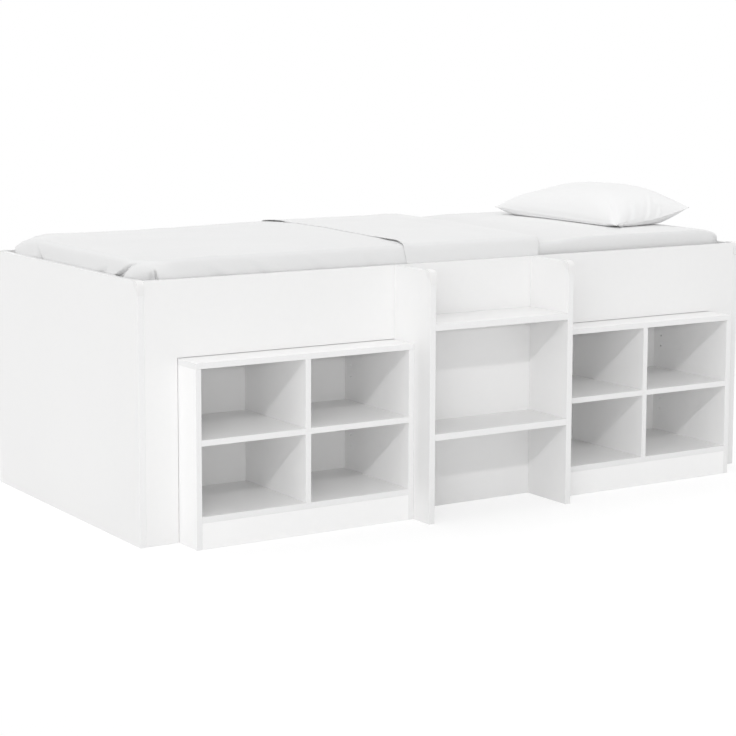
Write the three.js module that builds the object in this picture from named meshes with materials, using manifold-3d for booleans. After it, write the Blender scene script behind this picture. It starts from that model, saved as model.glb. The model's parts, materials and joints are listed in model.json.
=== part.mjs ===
// A low cabin bed in white board. Two end panels, a front panel and a back rail carry a slatted
// base, a fixed ladder of two steps stands at the middle of the front, and a cube bookcase stands
// in a cut-out of the front panel on each side of it. A mattress, a blanket, a turned-down sheet
// and a pillow lie on top. Lengths are in millimetres, +Z is up and the front faces -Y.
import * as THREE from "three";
import { mergeVertices } from "three/addons/utils/BufferGeometryUtils.js";
import Module from "manifold-3d";

const wasm = await Module();
wasm.setup();

// Boards
const bedBoard = 18;
const caseBoard = 16;
const caseBackBoard = 5;

// Bed frame
const bedLength = 2050;
const bedDepth = 950;
const bedHeight = 694;
const backRailHeight = 400;
const boardCornerRadius = 18;

// Ladder
const ladderWidth = 486;
const ladderReach = 177;
const stepTopShares = [0.356, 0.79];

// Slatted base
const slatCount = 14;
const slatWidth = 70;
const slatThickness = 15;
const slatEndGap = 2;
const slatDrop = 134;
const ledgerWidth = 30;
const ledgerHeight = 45;

// Bookcases. Each fills its cut-out in the front panel, between the ladder and the strip of panel
// that is left at the end of the bed.
const endStripWidth = 112;
const caseDepth = 337;
const caseReach = 99;
const caseHeadroom = 12;
const plinthHeight = 70;
const cutoutGap = 1.2;
const ladderGap = 0.3;

// Shelf pin holes, bored in the sides of each bookcase near its back
const pinRadius = 2.5;
const pinBoreDepth = 10;
const pinInset = 37;
const pinPitch = 32;
const pinRise = 70;
const pinSides = 10;

// Plastic caps on the top corners of the end panels and of the ladder's sides
const capWall = 3.2;
const capCheek = 1.5;
const capFit = 0.3;
const capReach = 36;
const capCheekRadius = 24;

// Steel angle brackets between the end panels and the long panels
const bracketLeg = 50;
const bracketHeight = 40;
const bracketThickness = 2.5;
const bracketDrop = 8;
const screwHeadRadius = 4.5;
const screwHeadHeight = 2;
const screwSides = 12;
const screwReachShare = 0.62;
const screwDropShares = [0.27, 0.73];

// Mattress
const mattressEndGap = 12;
const mattressSideGap = 10;
const mattressThickness = 170;
const mattressEdgeRadius = 30;
const mattressCornerRadius = 65;
const mattressCrown = 4;
const crownRingShares = [0.8, 0.5, 0.2];

// Blanket and turned-down sheet, which lie on the mattress and are tucked in beside it
const blanketThickness = 14;
const sheetThickness = 2.5;
const clothGap = 0.5;
const blanketSideShare = 0.55;
const sheetSideShare = 0.22;
const tuckDepth = 60;
const foldFrontShare = 0.637;
const foldBackShare = 0.697;
const sheetEdgeFrontShare = 0.407;
const sheetEdgeBackShare = 0.421;
const pleatShares = [
  { side: "end", tip: 0.06, left: 0.1, right: 0.17 },
  { side: "long", tip: 0.036, left: 0.014, right: 0.03 },
  { side: "end", tip: 0.82, left: 0.755, right: 0.795 },
];
const pleatRiseShare = 0.8;

// Pillow
const pillowLength = 640;
const pillowWidth = 330;
const pillowHeight = 128;
const pillowSeamRise = 38;
const pillowEndDrawShare = 0.07;
const pillowSideDrawShare = 0.11;
const pillowEndGap = 4;
const pillowOffset = 18;
const pillowRestGap = 0.3;

// How far a cutting shape runs past what it cuts
const overrun = 20;

// Places worked out from the sizes above. The middle of the plan is the origin.
const frontY = (ladderReach - bedDepth) / 2;
const backY = frontY + bedDepth;
const innerHalfLength = bedLength / 2 - bedBoard;
const innerFrontY = frontY + bedBoard;
const innerBackY = backY - bedBoard;
const slatTopZ = bedHeight - slatDrop;
const ledgerBaseZ = slatTopZ - slatThickness - ledgerHeight;
const caseHeight = ledgerBaseZ - caseHeadroom;
const cutoutNearX = ladderWidth / 2;
const cutoutFarX = bedLength / 2 - endStripWidth;
const caseInnerX = cutoutNearX + ladderGap;
const caseWidth = cutoutFarX - cutoutGap - caseInnerX;
const mattressTopZ = slatTopZ + mattressThickness;
const hemZ = bedHeight - tuckDepth;

const materials = {
  board: { color: 0xf0f0ee, roughness: 0.45, metalness: 0 },
  caseBoard: { color: 0xf2f2f0, roughness: 0.45, metalness: 0 },
  cap: { color: 0xe6e6e4, roughness: 0.35, metalness: 0 },
  slat: { color: 0xd9bd8f, roughness: 0.65, metalness: 0 },
  steel: { color: 0xb8babc, roughness: 0.35, metalness: 0.9 },
  mattress: { color: 0xe9e9e9, roughness: 0.9, metalness: 0 },
  blanket: { color: 0xe6e6e6, roughness: 0.95, metalness: 0 },
  sheet: { color: 0xebebeb, roughness: 0.9, metalness: 0 },
  pillow: { color: 0xf4f4f4, roughness: 0.9, metalness: 0 },
};

function meshOf(name, geometry, look) {
  const mesh = new THREE.Mesh(geometry, new THREE.MeshStandardMaterial(materials[look]));
  mesh.name = name;
  return mesh;
}

// A flat board between two corners.
function board(name, look, low, high) {
  const size = high.map((value, axis) => value - low[axis]);
  const mesh = meshOf(name, new THREE.BoxGeometry(...size), look);
  mesh.position.set(...low.map((value, axis) => value + size[axis] / 2));
  return mesh;
}

// Joining and cutting of closed shapes.
function solidOf(geometry) {
  const bare = geometry.clone();
  bare.deleteAttribute("normal");
  bare.deleteAttribute("uv");
  const merged = mergeVertices(bare);
  return new wasm.Manifold(new wasm.Mesh({
    numProp: 3,
    vertProperties: new Float32Array(merged.attributes.position.array),
    triVerts: new Uint32Array(merged.index.array),
  }));
}

function geometryOf(solid) {
  const cut = solid.getMesh();
  const geometry = new THREE.BufferGeometry();
  geometry.setAttribute("position", new THREE.BufferAttribute(new Float32Array(cut.vertProperties), 3));
  geometry.setIndex(new THREE.BufferAttribute(new Uint32Array(cut.triVerts), 1));
  geometry.computeVertexNormals();
  return geometry;
}

// Prisms of an outline. Along X the outline is drawn in Y and Z, along Y in X and Z, and along Z in
// X and Y.
function extruded(points, length) {
  const shape = new THREE.Shape(points.map(([a, b]) => new THREE.Vector2(a, b)));
  return new THREE.ExtrudeGeometry(shape, { depth: length, bevelEnabled: false });
}

const axisX = new THREE.Vector3(1, 0, 0);
const axisY = new THREE.Vector3(0, 1, 0);
const axisZ = new THREE.Vector3(0, 0, 1);

function prismAlongX(points, x0, x1) {
  const turn = new THREE.Matrix4().makeBasis(axisY, axisZ, axisX).setPosition(x0, 0, 0);
  return extruded(points, x1 - x0).applyMatrix4(turn);
}

function prismAlongY(points, y0, y1) {
  const turn = new THREE.Matrix4().makeBasis(axisX, axisZ, axisY.clone().negate()).setPosition(0, y1, 0);
  return extruded(points, y1 - y0).applyMatrix4(turn);
}

function prismAlongZ(points, z0, z1) {
  return extruded(points, z1 - z0).translate(0, 0, z0);
}

function boxShape(low, high) {
  const size = high.map((value, axis) => value - low[axis]);
  return new THREE.BoxGeometry(...size).translate(...low.map((value, axis) => value + size[axis] / 2));
}

// Points on an arc, with the angle in degrees.
function arc(centre, radius, from, to, steps) {
  return Array.from({ length: steps + 1 }, (_, step) => {
    const angle = THREE.MathUtils.degToRad(from + ((to - from) * step) / steps);
    return [centre[0] + radius * Math.cos(angle), centre[1] + radius * Math.sin(angle)];
  });
}

const cornerSteps = 6;

// An upright board in the plane of Y and Z whose top corners are rounded where roundFront and
// roundBack say so.
function uprightBoard(name, x0, y0, y1, roundFront, roundBack) {
  const r = boardCornerRadius;
  const z = bedHeight - r;
  const backCorner = roundBack ? arc([y1 - r, z], r, 0, 90, cornerSteps) : [[y1, bedHeight]];
  const frontCorner = roundFront ? arc([y0 + r, z], r, 90, 180, cornerSteps) : [[y0, bedHeight]];
  const outline = [[y0, 0], [y1, 0], ...backCorner, ...frontCorner];
  return meshOf(name, prismAlongX(outline, x0, x0 + bedBoard), "board");
}

// A cap goes over a rounded top corner. Its outline is drawn with u running inward from the edge of
// the board and v running down from its top, and place turns that into Y and Z.
function capOutline(place) {
  const r = boardCornerRadius;
  const proud = capFit + capWall;
  return [
    [capReach, -proud],
    ...arc([r, r], r + proud, 270, 180, cornerSteps),
    [-proud, capReach],
    [0, capReach],
    ...arc([0, 0], capCheekRadius, 90, 0, cornerSteps),
    [capReach, 0],
  ].map(place);
}

function capSlot(place) {
  const r = boardCornerRadius;
  const far = capReach + overrun;
  const round = arc([r, r], r + capFit, 270, 180, cornerSteps);
  return [[far, -capFit], ...round, [-capFit, far], [far, far]].map(place);
}

// The cap spans the board from x0 to x1, with a cheek on each face that is named.
function cornerCap(name, x0, x1, y, inward, cheekLow, cheekHigh) {
  const place = ([u, v]) => [y + inward * u, bedHeight - v];
  const bodyLow = cheekLow ? x0 - capFit - capCheek : x0;
  const bodyHigh = cheekHigh ? x1 + capFit + capCheek : x1;
  const slotLow = cheekLow ? x0 - capFit : x0 - overrun;
  const slotHigh = cheekHigh ? x1 + capFit : x1 + overrun;
  const body = prismAlongX(capOutline(place), bodyLow, bodyHigh);
  const slot = prismAlongX(capSlot(place), slotLow, slotHigh);
  return meshOf(name, geometryOf(solidOf(body).subtract(solidOf(slot))), "cap");
}

function endPanels() {
  const group = new THREE.Group();
  const half = bedLength / 2;
  [["left", -1], ["right", 1]].forEach(([side, sign]) => {
    const x0 = sign < 0 ? -half : half - bedBoard;
    group.add(uprightBoard(`end_panel_${side}`, x0, frontY, backY, true, true));
    group.add(cornerCap(`corner_cap_${side}_front`, x0, x0 + bedBoard, frontY, 1, sign < 0, sign > 0));
    group.add(cornerCap(`corner_cap_${side}_back`, x0, x0 + bedBoard, backY, -1, sign < 0, sign > 0));
  });
  return group;
}

// One board with a cut-out, open to the floor, for each bookcase.
function frontPanel() {
  const near = cutoutNearX;
  const far = cutoutFarX;
  const top = caseHeight + cutoutGap;
  const outline = [
    [-innerHalfLength, 0], [-far, 0], [-far, top], [-near, top], [-near, 0],
    [near, 0], [near, top], [far, top], [far, 0], [innerHalfLength, 0],
    [innerHalfLength, bedHeight], [-innerHalfLength, bedHeight],
  ];
  return meshOf("front_panel", prismAlongY(outline, frontY, innerFrontY), "board");
}

function backRail() {
  return board("back_rail", "board",
    [-innerHalfLength, innerBackY, bedHeight - backRailHeight], [innerHalfLength, backY, bedHeight]);
}

// Slats across the bed on two ledgers.
function slattedBase() {
  const group = new THREE.Group();
  const ledgerTopZ = ledgerBaseZ + ledgerHeight;
  [["front", innerFrontY], ["back", innerBackY - ledgerWidth]].forEach(([side, y0]) => {
    group.add(board(`ledger_${side}`, "slat",
      [-innerHalfLength, y0, ledgerBaseZ], [innerHalfLength, y0 + ledgerWidth, ledgerTopZ]));
  });
  const gap = (2 * innerHalfLength - slatCount * slatWidth) / (slatCount + 1);
  for (let index = 0; index < slatCount; index += 1) {
    const x0 = -innerHalfLength + gap + index * (slatWidth + gap);
    const name = `slat_${String(index + 1).padStart(2, "0")}`;
    group.add(board(name, "slat",
      [x0, innerFrontY + slatEndGap, ledgerTopZ], [x0 + slatWidth, innerBackY - slatEndGap, slatTopZ]));
  }
  return group;
}

// A screw head on the inner face of a bracket's leg, with its axis along the given direction.
function screwHead(centre, direction) {
  const turn = new THREE.Quaternion().setFromUnitVectors(axisY, direction);
  const length = screwHeadHeight + bracketThickness / 2;
  const head = new THREE.CylinderGeometry(screwHeadRadius, screwHeadRadius, length, screwSides);
  head.translate(0, length / 2, 0).applyQuaternion(turn);
  return head.translate(...centre);
}

// An angle bracket in an inner corner. The legs run from the corner along sx and sy.
function angleBracket(name, x, y, sx, sy, topZ) {
  const thick = bracketThickness;
  const leg = bracketLeg;
  const outline = [[0, 0], [leg, 0], [leg, thick], [thick, thick], [thick, leg], [0, leg]];
  const placed = outline.map(([a, b]) => [x + sx * a, y + sy * b]);
  let solid = solidOf(prismAlongZ(placed, topZ - bracketHeight, topZ));
  const out = leg * screwReachShare;
  screwDropShares.forEach((share) => {
    const z = topZ - bracketHeight * share;
    const onLong = screwHead([x + sx * out, y + (sy * thick) / 2, z], new THREE.Vector3(0, sy, 0));
    const onEnd = screwHead([x + (sx * thick) / 2, y + sy * out, z], new THREE.Vector3(sx, 0, 0));
    solid = solid.add(solidOf(onLong)).add(solidOf(onEnd));
  });
  return meshOf(name, geometryOf(solid), "steel");
}

function brackets() {
  const group = new THREE.Group();
  const topZ = ledgerBaseZ - bracketDrop;
  [["left", -1], ["right", 1]].forEach(([end, sign]) => {
    const x = sign * innerHalfLength;
    group.add(angleBracket(`bracket_${end}_front`, x, innerFrontY, -sign, 1, topZ));
    group.add(angleBracket(`bracket_${end}_back`, x, innerBackY, -sign, -1, topZ));
  });
  return group;
}

// Two full height sides and two steps, fixed to the face of the front panel.
function ladder() {
  const group = new THREE.Group();
  const y0 = frontY - ladderReach;
  const half = ladderWidth / 2;
  [["left", -half], ["right", half - bedBoard]].forEach(([side, x0]) => {
    group.add(uprightBoard(`ladder_side_${side}`, x0, y0, frontY, true, false));
    group.add(cornerCap(`ladder_cap_${side}`, x0, x0 + bedBoard, y0, 1, true, true));
  });
  ["lower", "upper"].forEach((level, index) => {
    const topZ = bedHeight * stepTopShares[index];
    group.add(board(`ladder_step_${level}`, "board",
      [-half + bedBoard, y0, topZ - bedBoard], [half - bedBoard, frontY, topZ]));
  });
  return group;
}

// Pin bores in the inner face of a bookcase side, two above each floor. inward is the sign of X
// from the side's inner face into the bookcase.
function boredSide(name, x0, x1, inward, floors) {
  let solid = solidOf(boxShape([x0, 0, 0], [x1, caseDepth, caseHeight - caseBoard]));
  const face = inward > 0 ? x1 : x0;
  const length = pinBoreDepth + overrun;
  floors.forEach((floor) => {
    [0, 1].forEach((row) => {
      const bore = new THREE.CylinderGeometry(pinRadius, pinRadius, length, pinSides);
      const x = face + inward * (length / 2 - pinBoreDepth);
      bore.rotateZ(Math.PI / 2).translate(x, caseDepth - pinInset, floor + pinRise + row * pinPitch);
      solid = solid.subtract(solidOf(bore));
    });
  });
  return meshOf(name, geometryOf(solid), "caseBoard");
}

// A bookcase of four cubes, drawn with its front at y = 0 and its middle at x = 0.
function bookcase(side, sign) {
  const group = new THREE.Group();
  const name = (part) => `bookcase_${side}_${part}`;
  const half = caseWidth / 2;
  const inner = half - caseBoard;
  const depth = caseDepth - caseBackBoard;
  const topZ = caseHeight - caseBoard;
  const baseZ = plinthHeight + caseBoard;
  const shelfZ = (baseZ + topZ - caseBoard) / 2;
  const middle = caseBoard / 2;
  const floors = [baseZ, shelfZ + caseBoard];
  group.add(boredSide(name("side_left"), -half, -inner, 1, floors));
  group.add(boredSide(name("side_right"), inner, half, -1, floors));
  const add = (part, low, high) => group.add(board(name(part), "caseBoard", low, high));
  add("top", [-half, 0, topZ], [half, caseDepth, caseHeight]);
  add("base", [-inner, 0, plinthHeight], [inner, depth, baseZ]);
  add("plinth", [-inner, 0, 0], [inner, caseBoard, plinthHeight]);
  add("divider", [-middle, 0, baseZ], [middle, depth, topZ]);
  add("shelf_left", [-inner, 0, shelfZ], [-middle, depth, shelfZ + caseBoard]);
  add("shelf_right", [middle, 0, shelfZ], [inner, depth, shelfZ + caseBoard]);
  add("back", [-inner, depth, plinthHeight], [inner, caseDepth, topZ]);
  group.position.set(sign * (caseInnerX + half), frontY - caseReach, 0);
  return group;
}

// Soft pieces. A block with rounded edges is a stack of rings, each a rectangle with round corners.
const plateCentreY = (innerFrontY + innerBackY) / 2;
const ringCornerSteps = 6;
const edgeSteps = 5;
const straightShares = [0.25, 0.5, 0.75];

function ringPoints(halfLength, halfDepth, corner, z) {
  const cx = halfLength - corner;
  const cy = halfDepth - corner;
  const quarters = [[cx, cy, 0], [-cx, cy, 90], [-cx, -cy, 180], [cx, -cy, 270]]
    .map(([x, y, from]) => arc([x, y], corner, from, from + 90, ringCornerSteps));
  return quarters.flatMap((quarter, index) => {
    const start = quarter[ringCornerSteps];
    const end = quarters[(index + 1) % 4][0];
    const towards = (share) => start.map((value, axis) => value + (end[axis] - value) * share);
    return [...quarter, ...straightShares.map(towards)];
  }).map(([x, y]) => [x, plateCentreY + y, z]);
}

// Triangles between rings that lie one above the other, closed with a fan at both ends.
function closedStack(rings, low, high) {
  const count = rings[0].length;
  const positions = [...rings.flat(), low, high].flat();
  const lowIndex = rings.length * count;
  const index = [];
  for (let step = 0; step < count; step += 1) {
    const next = (step + 1) % count;
    index.push(lowIndex, next, step);
    for (let ring = 0; ring + 1 < rings.length; ring += 1) {
      const a = ring * count + step;
      const b = ring * count + next;
      index.push(a, b, b + count, a, b + count, a + count);
    }
    const last = (rings.length - 1) * count;
    index.push(last + step, last + next, lowIndex + 1);
  }
  const geometry = new THREE.BufferGeometry();
  geometry.setAttribute("position", new THREE.BufferAttribute(new Float32Array(positions), 3));
  geometry.setIndex(index);
  return geometry;
}

// How far the mattress's top rises at a share of the way from its middle to its rim.
function crownRise(share) {
  return mattressCrown * (1 - share * share);
}

// The mattress, or a block that is larger than it by side at its sides and by top on its top.
function beddingBlock(side, top) {
  const halfLength = innerHalfLength - mattressEndGap + side;
  const halfDepth = (innerBackY - innerFrontY) / 2 - mattressSideGap + side;
  const corner = mattressCornerRadius + side;
  const edge = mattressEdgeRadius + top;
  const foot = mattressEdgeRadius;
  const topZ = mattressTopZ + top;
  const rings = [];
  const addRing = (inset, z) => {
    rings.push(ringPoints(halfLength - inset, halfDepth - inset, corner - inset, z));
  };
  for (let step = 0; step <= edgeSteps; step += 1) {
    const angle = (Math.PI / 2) * (step / edgeSteps);
    addRing(foot * (1 - Math.sin(angle)), slatTopZ + foot * (1 - Math.cos(angle)));
  }
  for (let step = 0; step <= edgeSteps; step += 1) {
    const angle = (Math.PI / 2) * (step / edgeSteps);
    addRing(edge * (1 - Math.cos(angle)), topZ - edge * (1 - Math.sin(angle)));
  }
  const rim = rings[rings.length - 1];
  crownRingShares.forEach((share) => {
    const z = topZ + crownRise(share);
    rings.push(rim.map(([x, y]) => [x * share, plateCentreY + (y - plateCentreY) * share, z]));
  });
  return closedStack(rings, [0, plateCentreY, slatTopZ], [0, plateCentreY, topZ + mattressCrown]);
}

function mattress() {
  return meshOf("mattress", beddingBlock(0, 0), "mattress");
}

// The sides of the cloth take a share of the narrower gap beside the mattress.
const tuckGap = Math.min(mattressSideGap, mattressEndGap);
const blanketSide = clothGap + tuckGap * blanketSideShare;
const blanketTop = clothGap + blanketThickness;
const sheetSide = blanketSide + clothGap + tuckGap * sheetSideShare;
const sheetTop = blanketTop + clothGap + sheetThickness;

// The part of the bed's length from a line across it, given by its places at the front and at the
// back, to another. Lines are in shares of the bed's length from its left end.
function lengthBand(fromFront, fromBack, toFront, toBack, shift, lowZ) {
  const at = (share) => bedLength * (share - 0.5);
  const corners = [
    [at(fromFront), frontY], [at(toFront) + shift, frontY],
    [at(toBack) + shift, backY], [at(fromBack), backY],
  ];
  return solidOf(prismAlongZ(corners, lowZ, mattressTopZ + sheetTop + mattressCrown + overrun));
}

// A pleat opens a narrow wedge in the tucked side of the blanket, near a foot corner.
function pleatWedge({ side, tip, left, right }) {
  const rise = (mattressTopZ + blanketTop - hemZ) * pleatRiseShare;
  const long = side === "long";
  const start = long ? -bedLength / 2 : frontY;
  const span = long ? bedLength : bedDepth;
  const at = (share) => start + span * share;
  const outline = [
    [at(left), hemZ - overrun], [at(right), hemZ - overrun], [at(right), hemZ],
    [at(tip), hemZ + rise], [at(left), hemZ],
  ];
  const reach = (long ? mattressSideGap : mattressEndGap) + clothGap;
  return long
    ? solidOf(prismAlongY(outline, innerFrontY, innerFrontY + reach))
    : solidOf(prismAlongX(outline, -innerHalfLength, -innerHalfLength + reach));
}

function blanket() {
  const inner = solidOf(beddingBlock(clothGap, clothGap));
  const outer = solidOf(beddingBlock(blanketSide, blanketTop));
  const band = lengthBand(0, 0, foldFrontShare, foldBackShare, 0, hemZ);
  const laid = outer.subtract(inner).intersect(band);
  const pleated = pleatShares.reduce((solid, pleat) => solid.subtract(pleatWedge(pleat)), laid);
  return meshOf("blanket", geometryOf(pleated), "blanket");
}

// The sheet lies on the blanket from its free edge to the fold, where it goes round the blanket's
// edge down to the mattress.
function turnedSheet() {
  const inner = solidOf(beddingBlock(clothGap, clothGap));
  const under = solidOf(beddingBlock(blanketSide + clothGap, blanketTop + clothGap));
  const outer = solidOf(beddingBlock(sheetSide, sheetTop));
  const band = lengthBand(sheetEdgeFrontShare, sheetEdgeBackShare, foldFrontShare, foldBackShare,
    clothGap + sheetThickness, hemZ);
  const covered = lengthBand(0, 0, foldFrontShare, foldBackShare, clothGap, hemZ - overrun);
  const laid = outer.intersect(band).subtract(under.intersect(covered)).subtract(inner);
  return meshOf("turned_sheet", geometryOf(laid), "sheet");
}

// The pillow is two grids that meet at a seam. Its sides draw in between the corners, and it is
// flat where it rests.
const pillowSteps = 18;
const pillowCentreX = bedLength / 2 - pillowEndGap - pillowWidth / 2;
const pillowCentreY = plateCentreY + pillowOffset;

// The height at which the pillow rests, on the mattress's crown under the pillow's inner edge.
function pillowRestZ() {
  const innerEdge = pillowCentreX - (pillowWidth / 2) * (1 - pillowSideDrawShare);
  const rim = innerHalfLength - mattressEndGap - mattressEdgeRadius;
  return mattressTopZ + crownRise(innerEdge / rim) + pillowRestGap;
}

// How full the pillow is at a share of the way from its middle to its seam.
function fullness(share) {
  return (1 - Math.abs(share) ** 4) ** 0.75;
}

// A point of the pillow's top or underside, for u and v from -1 to 1 across its width and length.
function pillowPoint(u, v, upper) {
  const x = pillowCentreX + (pillowWidth / 2) * u * (1 - pillowSideDrawShare * (1 - v * v));
  const y = pillowCentreY + (pillowLength / 2) * v * (1 - pillowEndDrawShare * (1 - u * u));
  const restZ = pillowRestZ();
  const seamZ = restZ + pillowSeamRise;
  const dome = fullness(u) * fullness(v);
  const top = seamZ + (pillowHeight - pillowSeamRise) * dome;
  return [x, y, upper ? top : Math.max(restZ, seamZ - pillowHeight * dome)];
}

function pillow() {
  const positions = [];
  const keys = new Map();
  const vertex = (column, row, upper) => {
    const onSeam = column === 0 || row === 0 || column === pillowSteps || row === pillowSteps;
    const key = `${column} ${row} ${onSeam || upper}`;
    if (!keys.has(key)) {
      keys.set(key, keys.size);
      positions.push(...pillowPoint((2 * column) / pillowSteps - 1, (2 * row) / pillowSteps - 1, upper));
    }
    return keys.get(key);
  };
  const index = [];
  for (let column = 0; column < pillowSteps; column += 1) {
    for (let row = 0; row < pillowSteps; row += 1) {
      [true, false].forEach((upper) => {
        const a = vertex(column, row, upper);
        const b = vertex(column + 1, row, upper);
        const c = vertex(column + 1, row + 1, upper);
        const d = vertex(column, row + 1, upper);
        index.push(...(upper ? [a, b, c, a, c, d] : [a, c, b, a, d, c]));
      });
    }
  }
  const geometry = new THREE.BufferGeometry();
  geometry.setAttribute("position", new THREE.BufferAttribute(new Float32Array(positions), 3));
  geometry.setIndex(index);
  return meshOf("pillow", geometry, "pillow");
}

const bed = new THREE.Group();
bed.add(endPanels(), frontPanel(), backRail(), slattedBase(), brackets(), ladder());
bed.add(bookcase("left", -1), bookcase("right", 1));
bed.add(mattress(), blanket(), turnedSheet(), pillow());

export default bed;
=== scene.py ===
"""The looks of a low cabin bed in white board, with its bedding. Lengths are in metres."""

import json
import math

import bmesh
import bpy
from mathutils import Matrix, Vector, noise

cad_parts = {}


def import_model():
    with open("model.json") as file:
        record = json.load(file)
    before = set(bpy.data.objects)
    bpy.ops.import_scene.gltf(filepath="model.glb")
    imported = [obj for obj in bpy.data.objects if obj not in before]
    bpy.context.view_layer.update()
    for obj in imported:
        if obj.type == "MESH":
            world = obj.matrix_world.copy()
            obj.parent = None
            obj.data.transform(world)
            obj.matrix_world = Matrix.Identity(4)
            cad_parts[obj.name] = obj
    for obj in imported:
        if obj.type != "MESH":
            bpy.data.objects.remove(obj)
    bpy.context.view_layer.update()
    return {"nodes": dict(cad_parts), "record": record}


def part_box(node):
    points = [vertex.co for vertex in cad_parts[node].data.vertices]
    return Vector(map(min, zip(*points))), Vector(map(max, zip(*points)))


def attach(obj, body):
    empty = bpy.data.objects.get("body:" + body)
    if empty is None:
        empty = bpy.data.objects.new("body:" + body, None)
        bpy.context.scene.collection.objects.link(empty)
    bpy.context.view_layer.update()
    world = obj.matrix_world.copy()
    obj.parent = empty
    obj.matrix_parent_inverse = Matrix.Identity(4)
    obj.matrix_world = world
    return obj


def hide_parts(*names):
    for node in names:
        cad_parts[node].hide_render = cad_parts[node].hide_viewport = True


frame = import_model()

MM = 0.001
NODES = frame["nodes"]
RECORD = frame["record"]
BODY_OF = {n: body for body, names in RECORD["behaviour"]["bodies"].items() for n in names}

# The bed, measured on the frame
END_LOW, END_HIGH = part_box("end_panel_left")
HEAD_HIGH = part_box("end_panel_right")[1]
FRONT_LOW, FRONT_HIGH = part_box("front_panel")
BACK_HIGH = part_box("back_rail")[1]
MAT_LOW, MAT_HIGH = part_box("mattress")
BLANKET_LOW, BLANKET_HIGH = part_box("blanket")
PILLOW_LOW, PILLOW_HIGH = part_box("pillow")
BED_LENGTH = HEAD_HIGH.x - END_LOW.x
BED_TOP = END_HIGH.z

# Camera, fitted to the corners of the boards
CAMERA_PLACE = Vector((-3.216, -4.9345, 1.276))
CAMERA_AZIMUTH = 32.40
CAMERA_DROP = 6.96
CAMERA_ROLL = 0.161
CAMERA_LENS = 97.05
CAMERA_SENSOR = 36.0
CAMERA_SHIFT = -0.10

CLOTH_UV = "cloth"

# Light: two long strips far in front and to the left, soft lights from above and from the foot end, and an
# even sky
STRIP_DISTANCE = 20.0
STRIP_THICKNESS = 0.8
KEY_SLOPE = 0.81
KEY_STRENGTH = 0.36
FILL_SLOPE = 0.21
FILL_STRENGTH = 0.37
STRIP_MIDDLE_SHARE = -1.0
STRIP_LENGTH_SHARE = 1.5
TOP_STRENGTH = 0.24
TOP_TOWARDS = Vector((0.12, 0.35, 1.0))
TOP_SOFTNESS = 60.0
FOOT_STRENGTH = 0.08
FOOT_TOWARDS = Vector((-1.0, -0.15, 0.35))
FOOT_SOFTNESS = 25.0
WORLD_STRENGTH = 0.66

FLOOR_SIZE = 40.0
FLOOR_BOUNCE = 0.80
FLOOR_SHADOW = 0.42
FLOOR_GLOW = 0.62
# How far from the middle the floor starts to fade and is white, in lengths of the bed
FLOOR_FADES = 0.6
FLOOR_IS_WHITE = 1.2


# Shader maths


class Field:
    """A socket of a node tree, on which Python's operators add Math nodes."""

    def __init__(self, tree, socket):
        self.tree = tree
        self.socket = socket

    def maths(self, operation, *values):
        return self.tree.node("ShaderNodeMath", {"operation": operation}, dict(enumerate(values)))

    def __add__(self, other):
        return self.maths("ADD", self, other)

    __radd__ = __add__

    def __sub__(self, other):
        return self.maths("SUBTRACT", self, other)

    def __rsub__(self, other):
        return self.maths("SUBTRACT", other, self)

    def __mul__(self, other):
        return self.maths("MULTIPLY", self, other)

    __rmul__ = __mul__

    def __pow__(self, other):
        return self.maths("POWER", self, other)

    def sine(self):
        return self.maths("SINE", self)

    def size(self):
        return self.maths("ABSOLUTE", self)

    def most(self, other):
        return self.maths("MAXIMUM", self, other)

    def ramp(self, low, high):
        """0 where the field is under low, 1 where it is over high, and smooth between."""
        settings = {"interpolation_type": "SMOOTHSTEP"}
        inputs = {"Value": self, "From Min": low, "From Max": high}
        return self.tree.node("ShaderNodeMapRange", settings, inputs)


class Tree:
    """A node tree, in which each node is made by one call."""

    def __init__(self, tree):
        self.tree = tree

    def node(self, kind, settings, inputs, output=0):
        """An output of a new node, whose settings come first, and then its sockets' values or links."""
        made = self.tree.nodes.new(kind)
        for key, value in settings.items():
            setattr(made, key, value)
        for key, value in inputs.items():
            self.feed(made.inputs[key], value)
        return Field(self, made.outputs[output])

    def feed(self, socket, value):
        if isinstance(value, Field):
            self.tree.links.new(value.socket, socket)
        else:
            socket.default_value = value


class Shade(Tree):
    """A material's node tree and its Principled shader."""

    def __init__(self, name):
        self.material = bpy.data.materials.new(name)
        self.material.use_nodes = True
        super().__init__(self.material.node_tree)
        self.shader = self.tree.nodes["Principled BSDF"]

    def set(self, **values):
        """Values or links of the shader's sockets, named with _ for a space."""
        for key, value in values.items():
            self.feed(self.shader.inputs[key.replace("_", " ")], value)

    def place(self):
        """Where a point is on the piece, in metres."""
        return self.node("ShaderNodeTexCoord", {}, {}, "Object")

    def axes(self, vector):
        return [self.node("ShaderNodeSeparateXYZ", {}, {0: vector}, axis) for axis in "XYZ"]

    def stretched(self, vector, scale):
        return self.node("ShaderNodeMapping", {"vector_type": "POINT"}, {"Vector": vector, "Scale": scale})

    def noise(self, vector, scale, detail=2.0, roughness=0.5):
        inputs = {"Vector": vector, "Scale": scale, "Detail": detail, "Roughness": roughness}
        return self.node("ShaderNodeTexNoise", {}, inputs, 0)

    def mixed(self, factor, low, high):
        """A colour between two colours."""
        return self.node("ShaderNodeMix", {"data_type": "RGBA"}, {0: factor, 6: low, 7: high}, 2)

    def bump(self, height, distance, strength=1.0, under=None):
        inputs = {"Height": height, "Distance": distance, "Strength": strength}
        if under is not None:
            inputs["Normal"] = under
        return self.node("ShaderNodeBump", {}, inputs, "Normal")


def grey(level, warmth=0.0):
    """A near-white colour, with a share of warmth between red and blue."""
    return (level * (1 + warmth), level, level * (1 - warmth), 1.0)


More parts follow.
